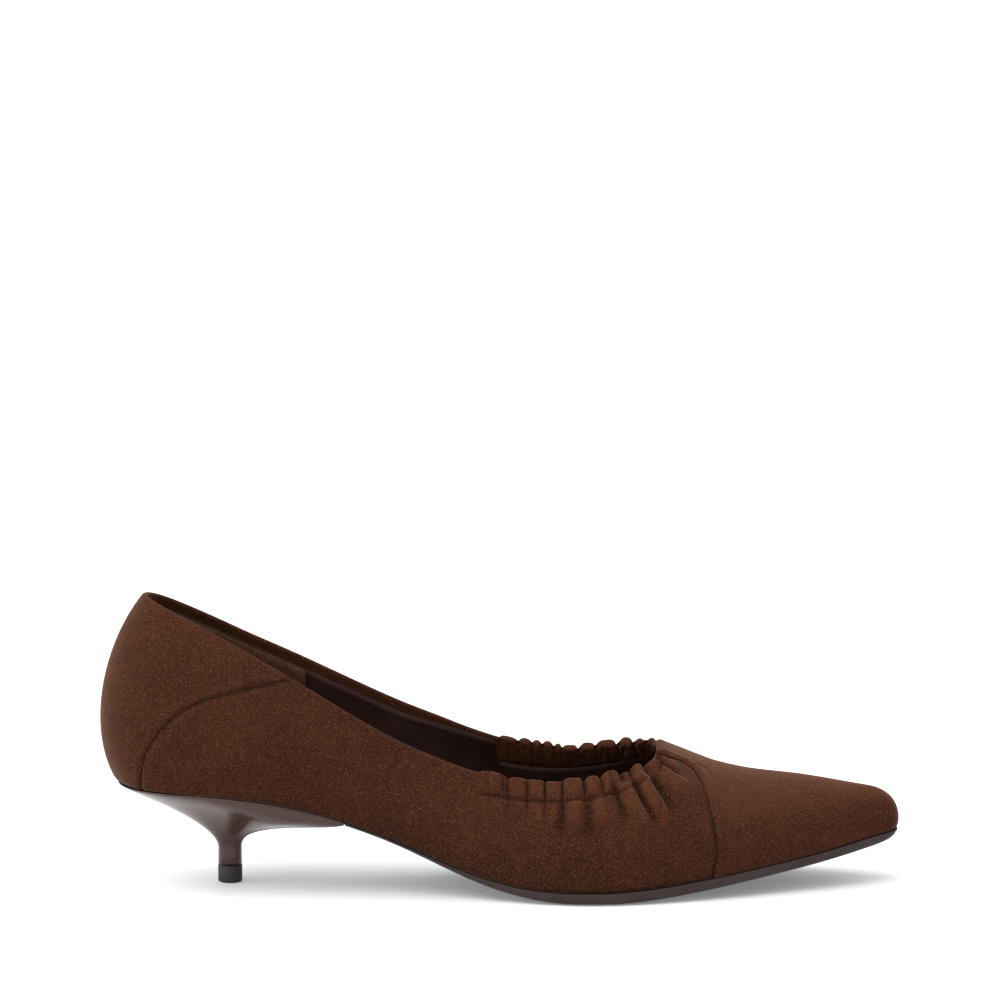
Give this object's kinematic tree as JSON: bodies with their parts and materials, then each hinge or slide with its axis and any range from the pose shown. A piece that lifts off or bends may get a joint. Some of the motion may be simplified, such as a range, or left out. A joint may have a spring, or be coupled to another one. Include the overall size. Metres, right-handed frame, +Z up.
{
  "type": "pointed-toe kitten heel pump",
  "caption": "Suede pump for one foot with a pointed toe, an elastic gathered topline at the front and a low slim heel with a small rubber tip.",
  "frame": {"origin": "on the floor under the middle of the tread, at the flat spot where the forefoot stands", "axes": "+X towards the tip of the toe, +Y towards the medial side of the foot, +Z up"},
  "size_m": [0.2606, 0.0765, 0.0958],
  "materials": {
    "suede": "matte suede",
    "lining": "satin",
    "sole": "satin",
    "heel": "lacquered",
    "tip": "matte"
  },
  "bodies": {
    "root": {"upper": "suede", "toe_cap": "suede", "back_counter": "suede", "casing_lateral": "suede", "casing_medial": "suede", "insole": "lining", "outsole": "sole", "heel": "heel", "top_piece": "tip"}
  },
  "joints": []
}
